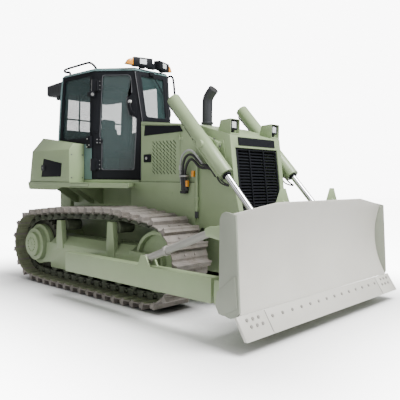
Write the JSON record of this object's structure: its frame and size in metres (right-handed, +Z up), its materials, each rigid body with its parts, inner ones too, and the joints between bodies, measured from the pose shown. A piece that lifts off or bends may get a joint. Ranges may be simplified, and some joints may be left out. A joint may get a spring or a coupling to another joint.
{
  "type": "bulldozer",
  "caption": "Crawler bulldozer with a full-width blade on two push arms, hydraulic lift, a closed cab with opening doors and fixed tracks.",
  "frame": {"origin": "on the ground, below the middle of the machine's length and width", "axes": "+X forward towards the blade, +Y the machine's left, +Z up"},
  "size_m": [5.2399, 3.33, 3.452],
  "materials": {
    "body_paint": "satin sage green paint",
    "blade_paint": "satin light grey paint",
    "cab_paint": "satin grey-teal paint",
    "black_paint": "satin black paint",
    "track_steel": "rolled steel, grey-brown primer",
    "dark_steel": "dark oiled steel",
    "chrome_rod": "polished hard chrome",
    "strut_steel": "grey primer",
    "window_glass": "tinted safety glass",
    "stack_metal": "dark heat-proof paint",
    "seat_vinyl": "black vinyl",
    "end_plate_paint": "satin grey-green paint",
    "lamp_lens": "clear lamp glass",
    "amber_lens": "amber plastic",
    "hose_rubber": "black hydraulic hose",
    "lamp_black": "black plastic"
  },
  "bodies": {
    "machine": {"beacons": "amber_lens", "cab_base": "body_paint", "cab_frame": "black_paint", "cab_glass": "window_glass", "cab_roof": "cab_paint", "cylinder_brackets": "body_paint", "dashboard": "lamp_black", "drawbar": "body_paint", "engine_block": "dark_steel", "engine_skirts": "body_paint", "exhaust_stack": "stack_metal", "fenders": "body_paint", "final_drives": "body_paint", "grille": "black_paint", "headlamps": "body_paint", "hood": "body_paint", "hose_blocks": "black_paint", "idlers": "body_paint", "lamp_units": "lamp_lens", "lift_hoses": "hose_rubber", "main_frame": "body_paint", "radiator": "lamp_black", "radiator_guard": "body_paint", "rear_air_unit": "lamp_black", "rear_tank": "body_paint", "rollers": "dark_steel", "roof_lights": "lamp_black", "roof_rails": "black_paint", "seat": "seat_vinyl", "side_pipes": "body_paint", "side_tanks": "body_paint", "sprockets": "dark_steel", "tank_hatches": "black_paint", "track_frames": "body_paint", "track_left": "track_steel", "track_right": "track_steel"},
    "blade_assembly": {"push_arms": "body_paint", "moldboard": "blade_paint", "blade_frame": "body_paint", "blade_ends": "end_plate_paint", "cutting_edge": "blade_paint", "end_bits": "blade_paint", "braces": "strut_steel"},
    "lift_barrel_right": {"lift_barrel_right": "body_paint"},
    "lift_barrel_left": {"lift_barrel_left": "body_paint"},
    "lift_rod_right": {"lift_rod_right": "chrome_rod"},
    "lift_rod_left": {"lift_rod_left": "chrome_rod"},
    "cab_door_right": {"cab_door_right": "black_paint", "door_glass_right": "window_glass"},
    "cab_door_left": {"cab_door_left": "black_paint", "door_glass_left": "window_glass"},
    "engine_door_right": {"engine_door_right": "body_paint"},
    "engine_door_left": {"engine_door_left": "body_paint"}
  },
  "joints": [
    {"name": "blade_lift", "type": "hinge", "parent": "machine", "child": "blade_assembly", "pos_m": [-0.47, 0, 0.508], "axis": [0, 1, 0], "range_deg": [-17, 11]},
    {"name": "lift_barrel_right_swing", "type": "hinge", "parent": "machine", "child": "lift_barrel_right", "pos_m": [1.19, -0.7, 2.052], "axis": [0, 1, 0], "range_deg": [-20, 13]},
    {"name": "lift_rod_right_slide", "type": "slide", "parent": "lift_barrel_right", "child": "lift_rod_right", "axis": [0.6819, 0, -0.7315], "range_m": [-0.68, 0.44]},
    {"name": "cab_door_right_hinge", "type": "hinge", "parent": "machine", "child": "cab_door_right", "pos_m": [-1.00577, -0.74916, 1.61], "axis": [0.0219, -0.0305, -0.9993], "range_deg": [0, 100]},
    {"name": "engine_door_right_hinge", "type": "hinge", "parent": "machine", "child": "engine_door_right", "pos_m": [0.5775, -0.539, 1.9], "axis": [0, 0, 1], "range_deg": [0, 105]},
    {"name": "lift_barrel_left_swing", "type": "hinge", "parent": "machine", "child": "lift_barrel_left", "pos_m": [1.19, 0.7, 2.052], "axis": [0, 1, 0], "range_deg": [-20, 13]},
    {"name": "lift_rod_left_slide", "type": "slide", "parent": "lift_barrel_left", "child": "lift_rod_left", "axis": [0.6819, 0, -0.7315], "range_m": [-0.68, 0.44]},
    {"name": "cab_door_left_hinge", "type": "hinge", "parent": "machine", "child": "cab_door_left", "pos_m": [-1.00577, 0.74916, 1.61], "axis": [-0.0219, -0.0305, 0.9993], "range_deg": [0, 100]},
    {"name": "engine_door_left_hinge", "type": "hinge", "parent": "machine", "child": "engine_door_left", "pos_m": [0.5775, 0.539, 1.9], "axis": [0, 0, -1], "range_deg": [0, 105]}
  ],
  "couplings": [
    {"joint": "lift_barrel_right_swing", "follows": "blade_lift", "ratio": 1.1},
    {"joint": "lift_rod_right_slide", "follows": "blade_lift", "m_per_rad": 2.24},
    {"joint": "lift_barrel_left_swing", "follows": "blade_lift", "ratio": 1.1},
    {"joint": "lift_rod_left_slide", "follows": "blade_lift", "m_per_rad": 2.24}
  ]
}
